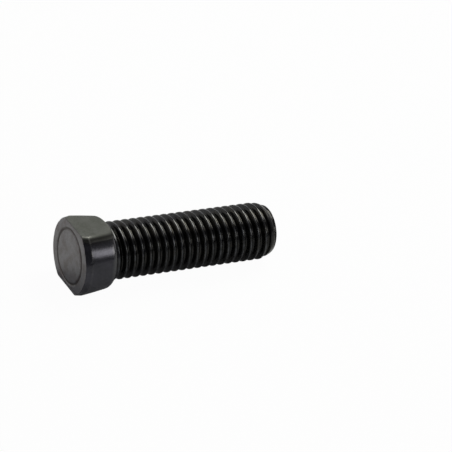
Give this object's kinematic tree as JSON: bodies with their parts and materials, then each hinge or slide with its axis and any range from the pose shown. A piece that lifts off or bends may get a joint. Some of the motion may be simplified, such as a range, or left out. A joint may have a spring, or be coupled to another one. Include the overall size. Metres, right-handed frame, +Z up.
{
  "type": "plow bolt",
  "caption": "Blackened steel plow bolt whose tapered round head with opposite flats seats flush in a plow share, with a coarse right-hand thread from the head to a bevelled point.",
  "frame": {"origin": "centre of the lying bolt's box, on the floor it rests on", "axes": "+X from the head to the point, along the bolt but for a dip of about one degree; +Y across the bolt, along the flats; +Z up, out of the upper flat"},
  "size_m": [0.0452, 0.016, 0.0134],
  "materials": {
    "black_steel": "dull black oxide over forged and thread-rolled steel"
  },
  "bodies": {
    "root": {"plow_bolt": "black_steel"}
  },
  "joints": []
}
